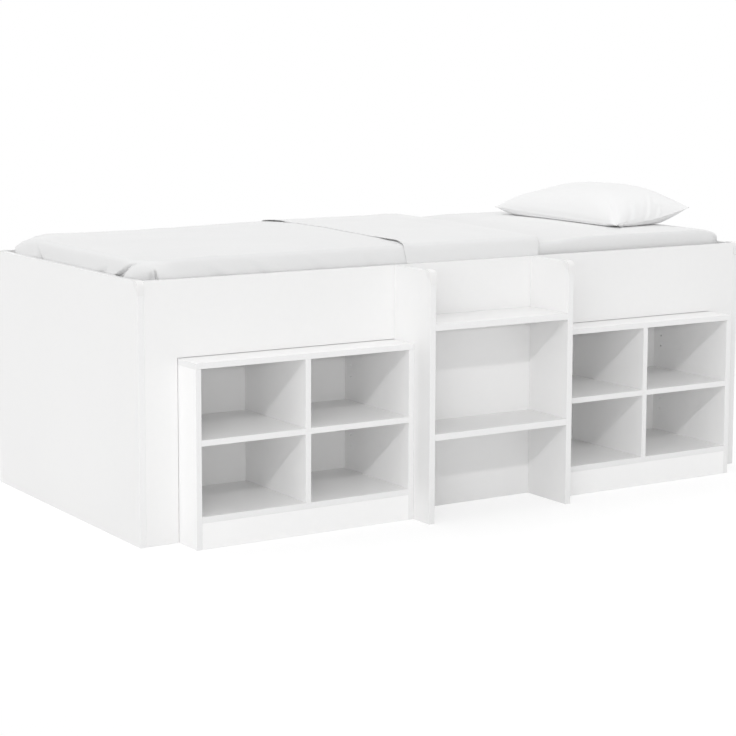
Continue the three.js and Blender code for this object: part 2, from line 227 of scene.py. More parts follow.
def board_material(name, level, roughness):
    """Satin melamine: a faint mottle and the fine dimples of a pressed foil."""
    shade = Shade(name)
    place = shade.place()
    cloud = shade.noise(place, 2.5, 3.0)
    mottle = shade.noise(place, 60.0, 4.0)
    dimples = shade.noise(place, 900.0, 2.0)
    waves = shade.noise(place, 14.0, 1.0)
    tone = (cloud * 0.6 + mottle * 0.4).ramp(0.3, 0.7)
    shade.set(Base_Color=shade.mixed(tone, grey(level * 0.985, 0.002), grey(level, 0.002)))
    shade.set(Roughness=roughness + (mottle - 0.5) * 0.12)
    under = shade.bump(waves, 0.12 * MM, 0.5)
    shade.set(Normal=shade.bump(dimples, 0.02 * MM, 0.6, under))
    shade.set(IOR=1.48)
    return shade.material


def edge_material(name, level):
    """The plastic band on a board's edges, a little glossier than its faces."""
    shade = Shade(name)
    place = shade.place()
    grain = shade.noise(place, 240.0, 3.0)
    shade.set(Base_Color=shade.mixed(grain.ramp(0.3, 0.7), grey(level * 0.985), grey(level)))
    shade.set(Roughness=0.34 + grain * 0.1)
    shade.set(Normal=shade.bump(grain, 0.03 * MM, 0.5))
    return shade.material


def plastic_material(name, level):
    """Moulded cap: an even, slightly grainy satin."""
    shade = Shade(name)
    place = shade.place()
    grain = shade.noise(place, 1600.0, 2.0)
    flow = shade.noise(place, 35.0, 2.0)
    shade.set(Base_Color=shade.mixed(flow.ramp(0.35, 0.65), grey(level * 0.97, 0.004), grey(level, 0.004)))
    shade.set(Roughness=0.36 + flow * 0.12)
    shade.set(Normal=shade.bump(grain, 0.02 * MM, 0.8))
    return shade.material


def pine_material(name, along):
    """Planed pine with its grain along the given axis."""
    shade = Shade(name)
    place = shade.place()
    squeeze = [22.0, 22.0, 22.0]
    squeeze[along] = 1.1
    long = shade.stretched(place, tuple(squeeze))
    sway = shade.noise(long, 1.2, 2.0)
    x, y, z = shade.axes(long)
    across = [x, y, z][1 - along if along < 2 else 0] + z * 0.6
    rings = ((across * 5.5 + sway * 9.0).sine() * 0.5 + 0.5) ** 1.6
    pores = shade.noise(shade.stretched(place, tuple(c * 9 for c in squeeze)), 3.0, 3.0)
    knots = shade.node("ShaderNodeTexVoronoi", {"feature": "F1"}, {"Vector": place, "Scale": 4.5})
    dark = (rings * 0.55 + pores * 0.35 + (1 - knots.ramp(0.02, 0.07)) * 0.8).ramp(0.1, 1.15)
    shade.set(Base_Color=shade.mixed(dark, (0.80, 0.63, 0.40, 1), (0.50, 0.30, 0.13, 1)))
    shade.set(Roughness=0.5 + pores * 0.25)
    shade.set(Normal=shade.bump(rings * 0.4 + pores, 0.15 * MM, 0.5))
    return shade.material


def zinc_material(name):
    """Zinc plated steel with its spangle and rolled streaks."""
    shade = Shade(name)
    place = shade.place()
    spangle = shade.noise(place, 260.0, 2.0)
    streak = shade.noise(shade.stretched(place, (1.0, 1.0, 20.0)), 60.0, 3.0)
    shade.set(Base_Color=shade.mixed(spangle.ramp(0.3, 0.7), (0.50, 0.51, 0.53, 1), (0.68, 0.69, 0.70, 1)))
    shade.set(Metallic=1.0, Roughness=0.26 + streak * 0.2)
    shade.set(Normal=shade.bump(streak, 0.02 * MM, 0.5))
    return shade.material


def cotton_material(name, level, pitch, weave_depth, crease_depth):
    """Woven cotton: threads both ways, slubs, a soft sheen and faint creases from washing."""
    shade = Shade(name)
    place = shade.place()
    cloth = shade.node("ShaderNodeUVMap", {"uv_map": CLOTH_UV}, {})
    along, across, _ = shade.axes(cloth)
    turn = 2 * math.pi / pitch
    weave = (along * turn).sine() * (across * turn).sine()
    slubs = shade.noise(shade.stretched(cloth, (1.0, 6.0, 1.0)), 110.0, 3.0)
    cloud = shade.noise(place, 3.0, 3.0)
    crease = 1 - (shade.noise(place, 7.0, 4.0, 0.45) * 2 - 1).size().ramp(0.0, 0.2)
    tone = (cloud * 0.7 + slubs * 0.3).ramp(0.3, 0.7)
    shade.set(Base_Color=shade.mixed(tone, grey(level * 0.98, -0.001), grey(level, -0.001)))
    shade.set(Roughness=0.88 + (slubs - 0.5) * 0.12)
    shade.set(Sheen_Weight=0.4, Sheen_Roughness=0.4)
    soft = shade.bump(crease, crease_depth * MM, 0.5)
    fine = shade.bump(slubs, 0.05 * MM, 0.5, soft)
    shade.set(Normal=shade.bump(weave, weave_depth * MM, 0.5, fine))
    return shade.material


BOARD_FACE = board_material("white melamine", 0.85, 0.42)
BOARD_EDGE = edge_material("white edge band", 0.835)
# The bookcases are the same white melamine as the bed. Their faces and backs are made lighter here as
# painted light, which lifts the shade inside their compartments.
CASE_FACE_WITH_PAINTED_LIGHT = board_material("white melamine, bookcases", 0.925, 0.42)
CASE_BACK_WITH_PAINTED_LIGHT = board_material("white hardboard back", 0.93, 0.6)
CAP = plastic_material("white cap plastic", 0.82)
PINE_X = pine_material("pine along the bed", 0)
PINE_Y = pine_material("pine across the bed", 1)
ZINC = zinc_material("zinc plated steel")
MATTRESS_CLOTH = cotton_material("fitted sheet cotton", 0.76, 0.9 * MM, 0.02, 0.25)
BLANKET_CLOTH = cotton_material("blanket cotton", 0.75, 1.6 * MM, 0.04, 0.3)
SHEET_CLOTH = cotton_material("top sheet cotton", 0.76, 0.9 * MM, 0.02, 0.25)
PILLOW_CLOTH = cotton_material("pillow case cotton", 0.835, 0.9 * MM, 0.02, 0.25)


# Making pieces

# Edges between faces that turn more than this stay sharp in the shading, and are the ones that are eased
SHARP_ANGLE = math.radians(40)
EASE_SEGMENTS = 3
FLAT_ANGLE = math.radians(0.5)
MERGE_DISTANCE = 0.01 * MM
# How much each kind of piece's edges are rounded
BOARD_EASE = 0.7 * MM
BACK_EASE = 0.2 * MM
CAP_EASE = 0.5 * MM
SLAT_EASE = 2.0 * MM
LEDGER_EASE = 1.5 * MM
PLATE_EASE = 0.3 * MM


def object_of(name, bm, *materials):
    """The piece that a bmesh makes."""
    mesh = bpy.data.meshes.new(name)
    bm.to_mesh(mesh)
    bm.free()
    piece = bpy.data.objects.new(name, mesh)
    bpy.context.scene.collection.objects.link(piece)
    for material in materials:
        mesh.materials.append(material)
    return piece


def smooth(piece):
    """Shades the piece smooth up to an angle, and its large faces flat."""
    piece.data.shade_smooth()
    piece.data.set_sharp_from_angle(angle=SHARP_ANGLE)
    even = piece.modifiers.new("flat faces", "WEIGHTED_NORMAL")
    even.keep_sharp = True
    even.weight = 100


def placed(piece, node):
    """Has the piece stand for a node, on the node's body, in place of the node's own part."""
    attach(piece, BODY_OF[node])
    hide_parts(node)


def merged_copy(node):
    """A node's shape as whole flat faces with shared corners."""
    bm = bmesh.new()
    bm.from_mesh(NODES[node].data)
    bmesh.ops.remove_doubles(bm, verts=bm.verts, dist=MERGE_DISTANCE)
    bmesh.ops.dissolve_limit(bm, angle_limit=FLAT_ANGLE, verts=bm.verts, edges=bm.edges)
    return bm


def box_mesh(low, high):
    """A box between two corners."""
    bm = bmesh.new()
    bmesh.ops.create_cube(bm, size=1.0)
    bmesh.ops.scale(bm, vec=high - low, verts=bm.verts)
    bmesh.ops.translate(bm, vec=(low + high) / 2, verts=bm.verts)
    return bm


def rounded(bm, edges, radius, segments):
    """Rounds these edges."""
    bmesh.ops.bevel(bm, geom=edges, offset=radius, offset_type="OFFSET", affect="EDGES", segments=segments,
                    profile=0.5, material=-1, clamp_overlap=True)


def eased(bm, radius):
    """Rounds every sharp edge a little."""
    sharp = [e for e in bm.edges if e.is_manifold and e.calc_face_angle(0) > SHARP_ANGLE]
    rounded(bm, sharp, radius, EASE_SEGMENTS)


def thin_axis(node):
    """The axis along which a board is thinnest."""
    low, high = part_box(node)
    size = high - low
    return min(range(3), key=lambda axis: size[axis])


def banded(bm, axis):
    """Gives a board's narrow sides the edge band's material."""
    for face in bm.faces:
        face.material_index = 0 if abs(face.normal[axis]) > 0.9 else 1


def board_piece(node, face, ease=BOARD_EASE):
    """A board with eased edges and an edge band round its faces."""
    bm = merged_copy(node)
    eased(bm, ease)
    banded(bm, thin_axis(node))
    piece = object_of(node + "_board", bm, face, BOARD_EDGE)
    smooth(piece)
    placed(piece, node)


def plain_piece(node, suffix, material, ease):
    """A piece of one material with eased edges."""
    bm = merged_copy(node)
    eased(bm, ease)
    piece = object_of(node + suffix, bm, material)
    smooth(piece)
    placed(piece, node)


def apply_modifiers(piece):
    """Gives the piece the mesh that its modifiers make."""
    depsgraph = bpy.context.evaluated_depsgraph_get()
    mesh = bpy.data.meshes.new_from_object(piece.evaluated_get(depsgraph))
    old = piece.data
    piece.modifiers.clear()
    piece.data = mesh
    bpy.data.meshes.remove(old)


def take_away(piece):
    """Takes a helper piece out of the scene, with its mesh."""
    data = piece.data
    bpy.data.objects.remove(piece)
    bpy.data.meshes.remove(data)


PIN_RADIUS = 2.5 * MM
PIN_DEPTH = 10 * MM
PIN_INSET = 37 * MM
PIN_PITCH = 32 * MM
PIN_RISE = 70 * MM
PIN_ROWS = 2
PIN_SIDES = 28


def bored_side(side, part, inward):
    """A bookcase side with its shelf pin holes, bored above the base and above the middle shelf."""
    node = f"bookcase_{side}_{part}"
    low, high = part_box(node)
    bm = box_mesh(low, high)
    eased(bm, BOARD_EASE)
    banded(bm, thin_axis(node))
    piece = object_of(node + "_board", bm, CASE_FACE_WITH_PAINTED_LIGHT, BOARD_EDGE)
    shelf_tops = [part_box(f"bookcase_{side}_{shelf}")[1].z for shelf in ("base", "shelf_left")]
    cutter = bmesh.new()
    face = high.x if inward > 0 else low.x
    turn = Matrix.Rotation(math.pi / 2, 4, "Y")
    for shelf_top in shelf_tops:
        for row in range(PIN_ROWS):
            centre = Vector((face, high.y - PIN_INSET, shelf_top + PIN_RISE + row * PIN_PITCH))
            bmesh.ops.create_cone(cutter, cap_ends=True, segments=PIN_SIDES, radius1=PIN_RADIUS,
                                  radius2=PIN_RADIUS, depth=2 * PIN_DEPTH,
                                  matrix=Matrix.Translation(centre) @ turn)
    tool = object_of("pin_cutter", cutter, CASE_FACE_WITH_PAINTED_LIGHT)
    bores = piece.modifiers.new("pins", "BOOLEAN")
    bores.operation = "DIFFERENCE"
    bores.object = tool
    bores.solver = "EXACT"
    apply_modifiers(piece)
    take_away(tool)
    smooth(piece)
    placed(piece, node)


def boards():
    """The boards of the bed and of its two bookcases."""
    for node in ("end_panel_left", "end_panel_right", "front_panel", "back_rail", "ladder_side_left",
                 "ladder_side_right", "ladder_step_lower", "ladder_step_upper"):
        board_piece(node, BOARD_FACE)
    for side in ("left", "right"):
        for part in ("top", "base", "plinth", "divider", "shelf_left", "shelf_right"):
            board_piece(f"bookcase_{side}_{part}", CASE_FACE_WITH_PAINTED_LIGHT)
        board_piece(f"bookcase_{side}_back", CASE_BACK_WITH_PAINTED_LIGHT, BACK_EASE)
        bored_side(side, "side_left", 1)
        bored_side(side, "side_right", -1)


# A cap's wall is thinner here than in the frame; what lies closer to the board than this stays as it is
CAP_LIES_CLOSE = 0.6 * MM
CAP_WALL_SHARE = 0.6


def corner_cap(node):
    """A thin moulding over a board's corner; its walls lie close on the board that it covers."""
    side = "left" if "left" in node else "right"
    low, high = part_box(("ladder_side_" if node.startswith("ladder") else "end_panel_") + side)
    bm = merged_copy(node)
    for vert in bm.verts:
        for axis in range(3):
            over, under = vert.co[axis] - high[axis], low[axis] - vert.co[axis]
            if over > CAP_LIES_CLOSE:
                vert.co[axis] -= over * (1 - CAP_WALL_SHARE)
            if under > CAP_LIES_CLOSE:
                vert.co[axis] += under * (1 - CAP_WALL_SHARE)
    eased(bm, CAP_EASE)
    piece = object_of(node + "_moulding", bm, CAP)
    smooth(piece)
    placed(piece, node)


def fittings():
    """The corner caps, the slats with their ledgers, and the steel brackets."""
    for node in NODES:
        if "_cap_" in node:
            corner_cap(node)
        if node.startswith("slat_"):
            plain_piece(node, "_batten", PINE_Y, SLAT_EASE)
        if node.startswith("ledger_"):
            plain_piece(node, "_batten", PINE_X, LEDGER_EASE)
        if node.startswith("bracket_"):
            plain_piece(node, "_plate", ZINC, PLATE_EASE)


# Bedding

HEM_HEIGHT = BLANKET_LOW.z
VOXEL = 8 * MM
CORNER_AT_FOOT = 90 * MM
CORNER_AT_HEAD = 50 * MM
CORNER_SEGMENTS = 10
MATTRESS_EDGE = 6 * MM
EDGE_SEGMENTS = 8
CROWN = 4 * MM
# How far under the top its crown, slump and droop begin, and where they are whole
TOP_BEGINS = 40 * MM
TOP_IS_WHOLE = 4 * MM
# The bare mattress swells a little between the turned sheet and the head end: how much, how far past the
# fold this starts and is whole, and where along the bed it starts to end
SWELL = 9 * MM
SWELL_STARTS = 10 * MM
SWELL_IS_WHOLE = 200 * MM
SWELL_ENDS = 0.87
# The corners lie a little lower than the rest: each one's place, its share of the drop, how far that reaches
# along and across the bed, and how far the corner draws in
SLUMP_DROP = 24 * MM
SLUMPS = [
    (MAT_LOW.x, MAT_HIGH.y, 1.15, 80 * MM, 120 * MM, 9 * MM),
    (MAT_LOW.x, MAT_LOW.y, 0.15, 100 * MM, 100 * MM, 2 * MM),
    (MAT_HIGH.x, MAT_LOW.y, 0.7, 42 * MM, 42 * MM, 0.0),
    (MAT_HIGH.x, MAT_HIGH.y, 0.7, 42 * MM, 42 * MM, 0.0),
]
# The back half droops a little near the foot end, between these places along and across the bed
DROOP = 7 * MM
DROOP_STARTS = (-0.93, -0.80)
DROOP_ENDS = (-0.60, -0.15)
DROOP_ACROSS = (0.1, 0.5)
# How far each cloth's outer face stands off the mattress
BLANKET_SIDE = 6.0 * MM
BLANKET_FOOT = 10.0 * MM
BLANKET_TOP = 14.5 * MM
SHEET_SIDE = 8.7 * MM
SHEET_TOP = 17.5 * MM
# The room that a cloth has beside the mattress before it meets the boards
SIDE_ROOM = 9.4 * MM
FOOT_ROOM = 11.4 * MM
# The line round which the top sheet is turned back, and the line of its free edge
FOLD_FRONT_X = 0.270
FOLD_BACK_X = 0.365
FREE_FRONT_X = -0.205
FREE_BACK_X = -0.130
# The free edge itself, which isn't straight: places across the bed, and where the edge is along it
FREE_EDGE = [(-0.380, -0.199), (-0.260, -0.168), (-0.131, -0.150), (0.010, -0.140), (0.200, -0.120),
             (0.370, -0.110), (0.450, -0.116), (0.530, -0.145)]


def rounded_block(low, high, corner_foot, corner_head, edge):
    """A block with round corners in plan, of one radius at each end, and a round top edge."""
    bm = box_mesh(low, high)
    upright = [e for e in bm.edges if abs(e.verts[0].co.z - e.verts[1].co.z) > 1 * MM]
    for corner, end_x in ((corner_foot, low.x), (corner_head, high.x)):
        here = [e for e in upright if e.is_valid and abs(e.verts[0].co.x - end_x) < 1 * MM]
        rounded(bm, here, corner, CORNER_SEGMENTS)
    rims = [e for e in bm.edges if all(abs(v.co.z - high.z) < 1 * MM for v in e.verts)]
    rounded(bm, rims, edge, EDGE_SEGMENTS)
    return bm


def smoothed(bm):
    """Moves every point halfway to the middle of its neighbours."""
    bmesh.ops.smooth_vert(bm, verts=bm.verts, factor=0.5, use_axis_x=True, use_axis_y=True, use_axis_z=True)


def even_mesh(bm, size):
    """The same closed shape in even quads."""
    piece = object_of("even", bm)
    remesh = piece.modifiers.new("even", "REMESH")
    remesh.mode = "VOXEL"
    remesh.voxel_size = size
    apply_modifiers(piece)
    made = bmesh.new()
    made.from_mesh(piece.data)
    take_away(piece)
    smoothed(made)
    return made


def step(value, low, high):
    """0 under low, 1 over high, smooth between."""
    share = min(1.0, max(0.0, (value - low) / (high - low)))
    return share * share * (3 - 2 * share)


def hump(value, low, high):
    """1 in the middle of a range, 0 at its ends and outside, smooth between."""
    middle = (low + high) / 2
    return step(value, low, middle) * (1 - step(value, middle, high))


def curve_through(points, at):
    """The value at a place of a smooth curve through points."""
    for (a, low), (b, high) in zip(points, points[1:]):
        if at <= b or (b, high) == points[-1]:
            return low + (high - low) * step(at, a, b)


def ripple(point, across, along, up, seed):
    """Smooth noise from -1 to 1, with about this many waves to the metre in each direction."""
    return noise.noise(Vector((point.x * across + seed, point.y * along, point.z * up)))


def crumple(point, seed):
    """Soft undulations of a laid cloth, from about -1 to 1."""
    broad = ripple(point, 3.1, 4.3, 5.0, seed)
    middle = ripple(point, 8.0, 11.0, 12.0, seed + 7.3)
    fine = ripple(point, 23.0, 19.0, 25.0, seed + 3.1)
    return broad * 0.6 + middle * 0.3 + fine * 0.1


def droop(place):
    """The share of the back half's droop that a place has."""
    return step(place.x, *DROOP_STARTS) * (1 - step(place.x, *DROOP_ENDS)) * step(place.y, *DROOP_ACROSS)


def laid_block(side, top, foot):
    """The mattress grown at its sides, top and foot, which is the form that a cloth laid over it follows."""
    high = Vector((MAT_HIGH.x + side, MAT_HIGH.y + side, MAT_HIGH.z - CROWN + top))
    low = Vector((MAT_LOW.x - foot, MAT_LOW.y - side, MAT_LOW.z))
    edge = MATTRESS_EDGE + (side + top) / 2
    bm = even_mesh(rounded_block(low, high, CORNER_AT_FOOT + side, CORNER_AT_HEAD + side, edge), VOXEL)
    middle, half = (low + high) / 2, (high - low) / 2
    for vert in bm.verts:
        across = min(1.0, abs(vert.co.y - middle.y) / half.y)
        along = min(1.0, abs(vert.co.x - middle.x) / half.x)
        up = step(vert.co.z, high.z - TOP_BEGINS, high.z - TOP_IS_WHOLE)
        vert.co.z += CROWN * (1 - across ** 2) * (1 - along ** 4) * up
        vert.co.z -= DROOP * droop(vert.co) * up
        for corner_x, corner_y, share, reach_x, reach_y, inward in SLUMPS:
            away = math.hypot((vert.co.x - corner_x) / reach_x, (vert.co.y - corner_y) / reach_y)
            slump = math.exp(-away ** 2) * up
            vert.co.z -= SLUMP_DROP * share * slump
            vert.co.x += inward * slump
    bm.normal_update()
    return bm


def cut(bm, point, normal):
    """Takes away what lies on the side that the normal points to."""
    geom = list(bm.verts) + list(bm.edges) + list(bm.faces)
    bmesh.ops.bisect_plane(bm, geom=geom, dist=0.1 * MM, plane_co=point, plane_no=normal, clear_outer=True)


def line_normal(front_x, back_x):
    """The level normal, towards the head end, of a line across the bed from its front to its back."""
    return Vector((FRONT_LOW.y - BACK_HIGH.y, back_x - front_x, 0)).normalized() * -1


def past_line(point, front_x, back_x):
    """How far a point lies past a line across the bed, towards the head end."""
    return (point - Vector((front_x, FRONT_LOW.y, 0))).dot(line_normal(front_x, back_x))


def line_x(y, front_x, back_x):
    """Where a line across the bed is, at a place across it."""
    return front_x + (back_x - front_x) * (y - FRONT_LOW.y) / (BACK_HIGH.y - FRONT_LOW.y)


def refined(bm, near):
    """Makes the mesh finer where near says so of a face's middle."""
    edges = {e for face in bm.faces if near(face.calc_center_median()) for e in face.edges}
    bmesh.ops.subdivide_edges(bm, edges=list(edges), cuts=FINE_CUTS, use_grid_fill=True)
    bm.normal_update()


class Fold:
    """A fold in a laid cloth: a valley from its mouth to its tip, with a raised lip on one side."""

    # Where it deepens before its mouth and fades towards its tip, in shares of the way between them
    DEEPENS = (-0.6, -0.1)
    FADES = (0.35, 1.15)
    # How far it reaches, in its widths, and how sharp its valley is
    REACH = 4
    VALLEY = 1.6
    # Where its lip stands beside the valley and how wide it is, in the fold's widths
    LIP_PLACE = 1.7
    LIP_WIDTH = 0.9
    # Where the cloth's mesh is made finer round it: shares of its length, and widths beside it
    FINE_LENGTH = (-0.3, 1.3)
    FINE_REACH = 3

    def __init__(self, mouth, tip, width, depth, lip, side=1.0, end_width=0.3, steep=1.0):
        self.mouth, self.tip = Vector(mouth), Vector(tip)
        self.width, self.depth, self.lip, self.side = width, depth, lip, side
        self.end_width, self.steep = end_width, steep

    def place(self, point):
        """Share of the way from mouth to tip, and the vector from the fold's line to the point."""
        run = self.tip - self.mouth
        share = (point - self.mouth).dot(run) / run.length_squared
        return share, point - self.mouth - run * share

    def near(self, point):
        """Whether a point is where the cloth's mesh is made finer."""
        share, off = self.place(point)
        start, end = self.FINE_LENGTH
        return start < share < end and off.length < self.width * self.FINE_REACH

    def lift(self, point, normal):
        """How far the fold moves a point of the cloth along its normal."""
        share, off = self.place(point)
        if not self.DEEPENS[0] < share < self.FADES[1] or off.length > self.width * self.REACH:
            return 0.0
        run = (self.tip - self.mouth).normalized()
        beside = off.dot(run.cross(normal)) * self.side
        width = self.width * (1 + (self.end_width - 1) * min(1.0, max(0.0, share)))
        along = (1 - step(share, *self.FADES)) * step(share, *self.DEEPENS)
        wall = width * (self.steep if beside > 0 else 1.0)
        valley = math.exp(-((beside / wall) ** 2) * self.VALLEY)
        lip = math.exp(-(((beside - width * self.LIP_PLACE) / (width * self.LIP_WIDTH)) ** 2))
        return along * (self.lip * lip - self.depth * valley)


FOOT_X = MAT_LOW.x - BLANKET_FOOT
SIDE_Y = BLANKET_LOW.y
# The blanket's pleats at the foot end, from where they show over the boards' edges; its mesh is finer there
PLEATS = [
    Fold((FOOT_X, -0.204, 0.683), (-1.000, -0.310, 0.735), 22 * MM, 17 * MM, 0.0, side=-1.0, end_width=0.15,
         steep=0.25),
    Fold((-0.958, SIDE_Y, 0.686), (-0.962, -0.356, 0.719), 4 * MM, 15 * MM, 1.0 * MM, end_width=0.8),
    Fold((-0.972, SIDE_Y + 0.003, 0.684), (-0.972, -0.350, 0.714), 12 * MM, 8 * MM, 0.5 * MM, end_width=0.9),
    Fold((FOOT_X, -0.125, 0.690), (-0.990, -0.175, 0.712), 14 * MM, 4.0 * MM, 0.5 * MM),
    Fold((FOOT_X, 0.262, 0.688), (-0.995, 0.322, 0.738), 50 * MM, 8.0 * MM, 0.0, end_width=0.6, steep=0.09),
]
# Its softer folds along both sides
TUCKS = [
    Fold((-0.775, SIDE_Y, 0.692), (-0.845, -0.350, 0.733), 12 * MM, 3.0 * MM, 2.0 * MM),
    Fold((-0.640, SIDE_Y, 0.692), (-0.705, -0.352, 0.730), 12 * MM, 2.5 * MM, 1.5 * MM),
    Fold((-0.470, SIDE_Y, 0.692), (-0.520, -0.354, 0.728), 14 * MM, 2.0 * MM, 1.0 * MM),
    Fold((-0.300, SIDE_Y, 0.692), (-0.345, -0.354, 0.728), 12 * MM, 2.0 * MM, 1.2 * MM),
    Fold((-0.880, BLANKET_HIGH.y, 0.692), (-0.905, 0.520, 0.735), 12 * MM, 8.0 * MM, 3.0 * MM),
    Fold((-0.520, BLANKET_HIGH.y, 0.692), (-0.480, 0.525, 0.735), 12 * MM, 3.0 * MM, 1.5 * MM),
]


# The cloths' thickness on top and beside the mattress, and the height over which it changes
BLANKET_THICKNESS = (12.0 * MM, 5.0 * MM)
SHEET_THICKNESS = (2.0 * MM, 1.6 * MM)
THINS_OVER = 30 * MM
CLOTH_SHARP_ANGLE = math.radians(60)
# Where a cloth's mesh is made finer, each edge is cut this often
FINE_CUTS = 2


def thickened(piece, top_thickness, side_thickness):
    """Gives a cloth its thickness inwards, which is less where it hangs beside the mattress."""
    group = piece.vertex_groups.new(name="thickness")
    for vert in piece.data.vertices:
        share = step(vert.co.z, MAT_HIGH.z - THINS_OVER, MAT_HIGH.z)
        thickness = side_thickness + (top_thickness - side_thickness) * share
        group.add([vert.index], thickness / top_thickness, "REPLACE")
    wall = piece.modifiers.new("thickness", "SOLIDIFY")
    wall.thickness = top_thickness
    wall.offset = -1
    wall.vertex_group = "thickness"
    wall.use_even_offset = False
    apply_modifiers(piece)
    piece.vertex_groups.clear()


def woven(piece):
    """Gives a laid cloth a UV map in metres that runs on down its sides, for its threads."""
    data = piece.data
    layer = data.uv_layers.new(name=CLOTH_UV)
    places = []
    for vert in data.vertices:
        drop = max(0.0, MAT_HIGH.z - vert.co.z)
        level = abs(vert.normal.x) + abs(vert.normal.y) + 1e-6
        places.append((vert.co.x + drop * vert.normal.x / level, vert.co.y + drop * vert.normal.y / level))
    layer.data.foreach_set("uv", [c for loop in data.loops for c in places[loop.vertex_index]])
    data.shade_smooth()
    data.set_sharp_from_angle(angle=CLOTH_SHARP_ANGLE)


# The laid cloths' waves beside the mattress, what they have more on top of it, and how far their sides bulge
WAVES_AT_SIDE = 1.2 * MM
WAVES_MORE_ON_TOP = 0.4 * MM
SIDE_BULGE = 1.5 * MM


def cloth_waves(point):
    """How far the laid cloths rise and fall together, seen along their normal."""
    up = step(point.z, MAT_HIGH.z - THINS_OVER, MAT_HIGH.z + BLANKET_TOP)
    bulge = SIDE_BULGE * (1 - up) * (0.5 + 0.5 * ripple(point, 6, 6, 4, 9.0))
    return crumple(point, 31.0) * (WAVES_AT_SIDE + WAVES_MORE_ON_TOP * up) + bulge


def swell(point):
    """How far the mattress's top is raised at a point."""
    past = past_line(point, FOLD_FRONT_X, FOLD_BACK_X)
    return SWELL * step(past, SWELL_STARTS, SWELL_IS_WHOLE) * (1 - step(point.x, SWELL_ENDS, MAT_HIGH.x))


# The room that a cloth has over the boards, which begins just under their top edge and is whole over it
ROOM_OVER_BOARDS = 4.0 * MM
ROOM_STARTS = 2 * MM
ROOM_IS_WHOLE = 15 * MM


def kept_clear(move, point, normal, side, foot):
    """The move of a cloth that stands off the mattress's side and foot, kept clear of the boards there."""
    at_foot = max(0.0, -normal.x)
    room = (SIDE_ROOM - side) * (1 - at_foot) + (FOOT_ROOM - foot) * at_foot
    free = step(point.z, FRONT_HIGH.z - ROOM_STARTS, FRONT_HIGH.z + ROOM_IS_WHOLE)
    return min(move, room + (ROOM_OVER_BOARDS - room) * free)


# The fitted sheet: how far it lies inside the mattress's space, is drawn in at the sides, waves and puckers
FITTED_INSIDE = 1.2 * MM
FITTED_DRAWN_IN = 2.5 * MM
FITTED_WAVES = 1.3 * MM
FITTED_PUCKERS = 1.4 * MM
# How far down its puckers reach, and how far down its waves begin and are whole
PUCKERS_REACH = 50 * MM
FITTED_BEGINS = 45 * MM
FITTED_IS_WHOLE = 8 * MM


def mattress():
    """A mattress in a fitted sheet, which draws its sides in a little and lies in soft waves on top."""
    bm = laid_block(0.0, 0.0, 0.0)
    for vert in bm.verts:
        up = step(vert.co.z, MAT_HIGH.z - FITTED_BEGINS, MAT_HIGH.z - FITTED_IS_WHOLE)
        near_edge = hump(vert.co.z, MAT_HIGH.z - PUCKERS_REACH, MAT_HIGH.z)
        drawn = (0.5 + 0.5 * ripple(vert.co, 16, 16, 5, 5.0)) * FITTED_DRAWN_IN * (1 - up)
        waves = crumple(vert.co, 11.0) * FITTED_WAVES * up
        puckers = abs(ripple(vert.co, 42, 42, 3, 2.0)) * FITTED_PUCKERS * near_edge
        vert.co += vert.normal * (waves - FITTED_INSIDE - drawn - puckers)
        vert.co.z += swell(vert.co) * up
    piece = object_of("mattress_fitted", bm, MATTRESS_CLOTH)
    placed(piece, "mattress")
    woven(piece)


# The blanket ends this far before the line round which the top sheet is turned back
BLANKET_SHORT_OF_FOLD = 30 * MM


def blanket():
    """A blanket over the foot end and the middle, tucked in on three sides."""
    bm = laid_block(BLANKET_SIDE, BLANKET_TOP, BLANKET_FOOT)
    cut(bm, Vector((0, 0, HEM_HEIGHT)), Vector((0, 0, -1)))
    head_edge = Vector((FOLD_FRONT_X - BLANKET_SHORT_OF_FOLD, FRONT_LOW.y, 0))
    cut(bm, head_edge, line_normal(FOLD_FRONT_X, FOLD_BACK_X))
    refined(bm, lambda p: any(f.near(p) for f in PLEATS))
    for vert in bm.verts:
        normal, point = vert.normal.copy(), vert.co.copy()
        folds = sum(f.lift(point, normal) for f in PLEATS + TUCKS)
        move = cloth_waves(point) + folds
        vert.co = point + normal * kept_clear(move, point, normal, BLANKET_SIDE, BLANKET_FOOT)
    piece = object_of("blanket_laid", bm, BLANKET_CLOTH)
    placed(piece, "blanket")
    thickened(piece, *BLANKET_THICKNESS)
    woven(piece)


# The sheet counts as on top from this far under to this far over the mattress's edge
SHEET_TOP_BEGINS = 15 * MM
SHEET_TOP_IS_WHOLE = 8 * MM
# The fold's roll, how far down the sides it becomes half as wide, the cloth that runs back under it, and
# what both add to the sheet's length
FOLD_ROLL = 7.0 * MM
FOLD_TIGHTENS_OVER = 25 * MM
FOLD_STEPS = 6
FOLD_RUNS_BACK = 12 * MM
# The two stretches where the free edge stands off the blanket, and how far
OPEN_FRONT = (-0.46, -0.10)
OPEN_FRONT_GAP = 5.0 * MM
OPEN_BACK = (0.40, 0.57)
OPEN_BACK_GAP = 4.5 * MM
# How far it is pressed into the blanket elsewhere on top, and stands off it at the sides
EDGE_PRESSED_IN = 0.5 * MM
EDGE_GAP_AT_SIDE = 0.6 * MM
# How far from the free edge the sheet curls, has a finer mesh, and moves along with the edge
EDGE_CURL_REACH = 50 * MM
EDGE_FINE_REACH = 45 * MM
EDGE_SHIFT_REACH = 150 * MM
# Down the front side the free edge sweeps this far towards the head end, over this height
EDGE_SWEEP_AT_SIDE = 7 * MM
EDGE_SWEEP_OVER = 40 * MM
# The soft swelling of the sheet beside its fold, and its own small waves
PUFF = 2.5 * MM
PUFF_REACH = (-20 * MM, 110 * MM)
SHEET_EASE = 0.3 * MM


